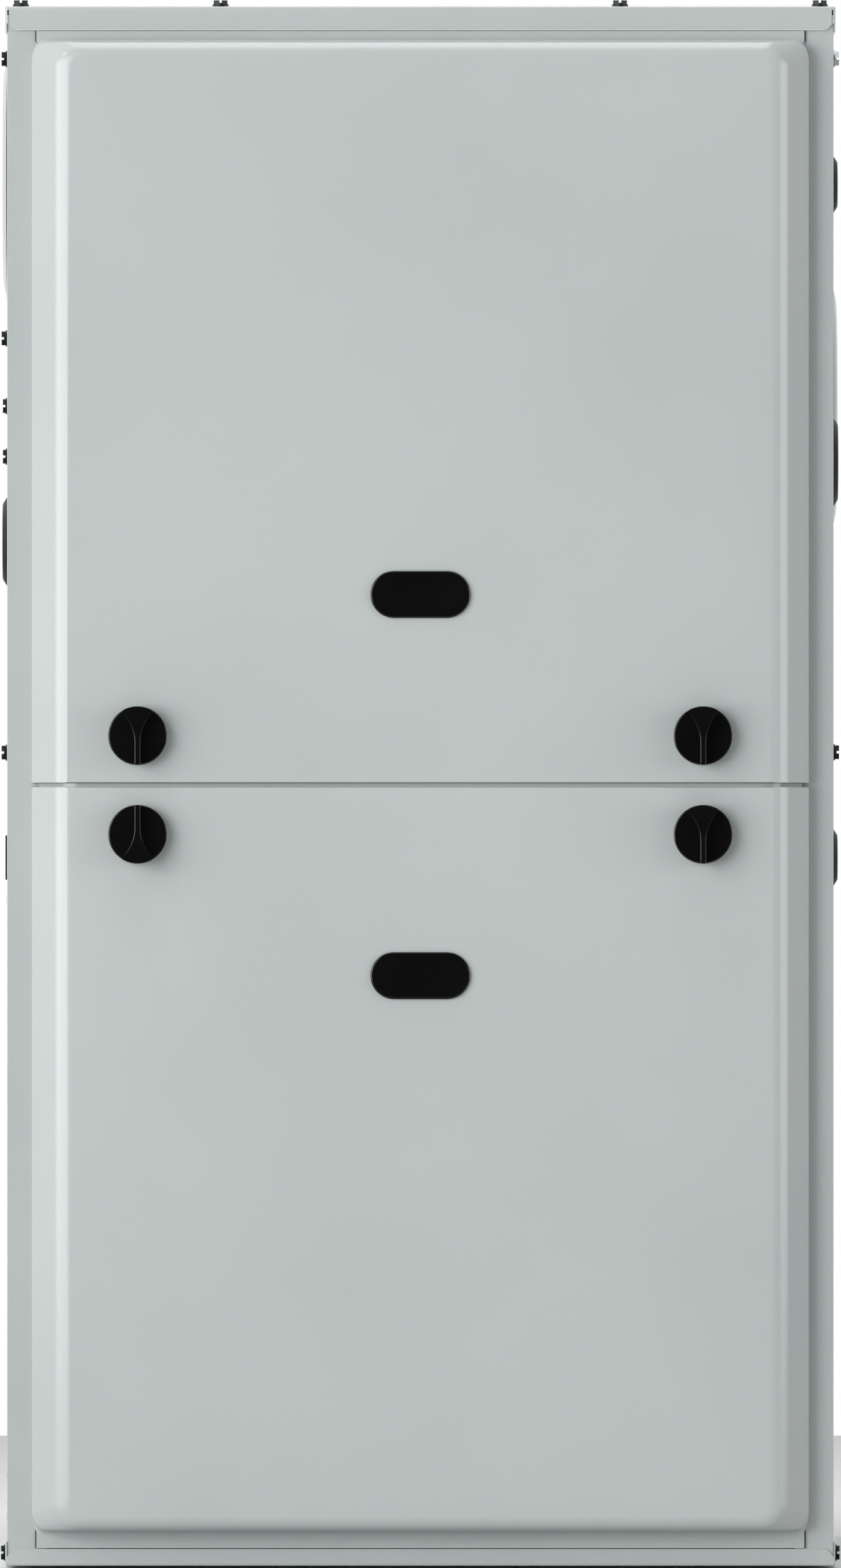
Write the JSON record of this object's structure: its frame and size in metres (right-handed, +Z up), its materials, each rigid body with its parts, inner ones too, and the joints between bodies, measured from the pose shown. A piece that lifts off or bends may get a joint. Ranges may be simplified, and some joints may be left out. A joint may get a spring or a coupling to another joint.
{
  "type": "forced air gas furnace",
  "caption": "Upflow forced air gas furnace in a pale grey steel casing with two pillow shaped doors, black turn knobs and sight windows.",
  "frame": {"origin": "centre of the casing's footprint, on the surface it stands on", "axes": "+X to the right seen from the front, +Y from the doors towards the back, +Z up"},
  "size_m": [0.451, 0.7476, 0.8424],
  "materials": {
    "coat": "satin powder coat",
    "galvanised_sheet": "spangled zinc",
    "gloss_black_plastic": "polished moulding",
    "dark_plastic": "moulded",
    "black_steel": "black coated steel",
    "stainless_sheet": "mill finish",
    "fin_aluminium": "plain fins",
    "aluminised_tube": "aluminised",
    "cast_aluminium": "as cast",
    "insulation": "glass fibre mat with foil",
    "circuit_board": "coated board",
    "ceramic": "fired",
    "clear_vinyl": "soft vinyl",
    "vent_plastic": "plastic pipe",
    "red_plastic": "moulded"
  },
  "bodies": {
    "cabinet": {"cabinet_wrapper": "coat", "top_cap": "coat", "base_pan": "coat", "bottom_closure_panel": "galvanised_sheet", "centre_rail": "galvanised_sheet", "blower_deck": "galvanised_sheet", "vestibule_panel": "galvanised_sheet", "left_vent_cover": "coat", "right_vent_cover": "coat", "left_gas_plug": "gloss_black_plastic", "right_gas_plug": "gloss_black_plastic", "right_conduit_plug": "gloss_black_plastic", "right_wiring_plug": "gloss_black_plastic", "left_drain_grommet": "gloss_black_plastic", "top_screw_1": "black_steel", "top_screw_2": "black_steel", "top_screw_3": "black_steel", "top_screw_4": "black_steel", "burner_box": "galvanised_sheet", "burner_left": "aluminised_tube", "burner_middle": "aluminised_tube", "burner_right": "aluminised_tube", "gas_manifold": "black_steel", "gas_valve": "cast_aluminium", "igniter": "ceramic", "flame_sensor": "ceramic", "rollout_switch": "dark_plastic", "exchanger_tube_left": "aluminised_tube", "exchanger_tube_middle": "aluminised_tube", "exchanger_tube_right": "aluminised_tube", "coupling_box": "stainless_sheet", "secondary_coil": "fin_aluminium", "collector_box": "dark_plastic", "inducer_housing": "dark_plastic", "inducer_motor": "black_steel", "vent_pipe": "vent_plastic", "pressure_switch": "dark_plastic", "pressure_tube": "clear_vinyl", "condensate_trap": "dark_plastic", "drain_hose": "clear_vinyl", "blower_housing": "galvanised_sheet", "blower_motor": "black_steel", "motor_mount": "galvanised_sheet", "control_board": "circuit_board", "transformer": "black_steel", "door_switch": "dark_plastic"},
    "upper_door": {"upper_door_panel": "coat", "upper_door_liner": "insulation", "upper_sight_window": "gloss_black_plastic"},
    "lower_door": {"lower_door_panel": "coat", "lower_sight_window": "gloss_black_plastic"},
    "upper_left_knob": {"upper_left_knob": "gloss_black_plastic"},
    "upper_right_knob": {"upper_right_knob": "gloss_black_plastic"},
    "lower_left_knob": {"lower_left_knob": "gloss_black_plastic"},
    "lower_right_knob": {"lower_right_knob": "gloss_black_plastic"},
    "blower_wheel": {"blower_wheel": "galvanised_sheet"},
    "inducer_wheel": {"inducer_wheel": "galvanised_sheet"},
    "gas_valve_switch": {"gas_valve_switch": "red_plastic"},
    "rollout_reset": {"rollout_reset_button": "red_plastic"},
    "door_switch_plunger": {"door_switch_plunger": "clear_vinyl"}
  },
  "joints": [
    {"name": "upper_door_slide", "type": "slide", "parent": "cabinet", "child": "upper_door", "axis": [0, -1, 0], "range_m": [0, 0.4]},
    {"name": "lower_door_slide", "type": "slide", "parent": "cabinet", "child": "lower_door", "axis": [0, -1, 0], "range_m": [0, 0.4]},
    {"name": "upper_left_knob_turn", "type": "hinge", "parent": "upper_door", "child": "upper_left_knob", "pos_m": [-0.1517, -0.3771, 0.44715], "axis": [0, 1, 0], "range_deg": [0, 90]},
    {"name": "lower_left_knob_turn", "type": "hinge", "parent": "lower_door", "child": "lower_left_knob", "pos_m": [-0.1517, -0.3771, 0.39425], "axis": [0, 1, 0], "range_deg": [0, 90]},
    {"name": "upper_right_knob_turn", "type": "hinge", "parent": "upper_door", "child": "upper_right_knob", "pos_m": [0.1517, -0.3771, 0.44715], "axis": [0, 1, 0], "range_deg": [0, 90]},
    {"name": "lower_right_knob_turn", "type": "hinge", "parent": "lower_door", "child": "lower_right_knob", "pos_m": [0.1517, -0.3771, 0.39425], "axis": [0, 1, 0], "range_deg": [0, 90]},
    {"name": "blower_wheel_spin", "type": "hinge", "parent": "cabinet", "child": "blower_wheel", "pos_m": [0, -0.03, 0.202], "axis": [1, 0, 0], "continuous": true},
    {"name": "inducer_wheel_spin", "type": "hinge", "parent": "cabinet", "child": "inducer_wheel", "pos_m": [0.13, -0.2188, 0.54], "axis": [0, 1, 0], "continuous": true},
    {"name": "gas_valve_switch_rock", "type": "hinge", "parent": "cabinet", "child": "gas_valve_switch", "pos_m": [-0.1778, -0.3395, 0.676], "axis": [1, 0, 0], "range_deg": [0, 20]},
    {"name": "rollout_reset_press", "type": "slide", "parent": "cabinet", "child": "rollout_reset", "axis": [0, 0, -1], "range_m": [0, 0.002], "stiffness_N_per_m": 200},
    {"name": "door_switch_press", "type": "slide", "parent": "cabinet", "child": "door_switch_plunger", "axis": [0, 1, 0], "range_m": [0, 0.003], "stiffness_N_per_m": 200}
  ]
}
